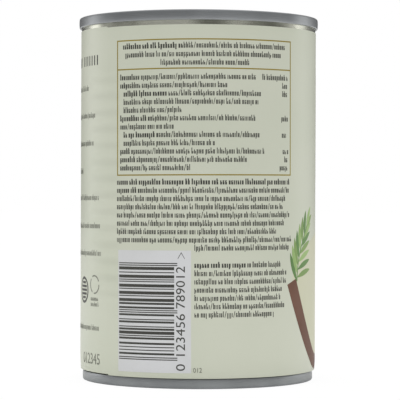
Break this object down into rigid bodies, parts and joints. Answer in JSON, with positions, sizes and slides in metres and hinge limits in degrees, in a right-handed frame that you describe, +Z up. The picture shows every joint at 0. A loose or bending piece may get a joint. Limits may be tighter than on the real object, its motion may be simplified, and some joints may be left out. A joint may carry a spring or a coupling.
{
  "type": "coconut cream can",
  "caption": "Shut food can with a necked-in base, double-seamed ringed ends and a paper label wrapped round its beaded steel body.",
  "frame": {"origin": "centre of the ring that the can stands on, at the bottom of the base seam", "axes": "+Z up the can's axis, -Y towards the side shown, with the label's side seam 47 degrees to the left of it"},
  "size_m": [0.075, 0.075, 0.1127],
  "materials": {
    "tinplate": "bright rolled tinplate",
    "label_paper": "satin coated paper"
  },
  "bodies": {
    "root": {"can_body": "tinplate", "top_end": "tinplate", "bottom_end": "tinplate", "label": "label_paper"}
  },
  "joints": []
}
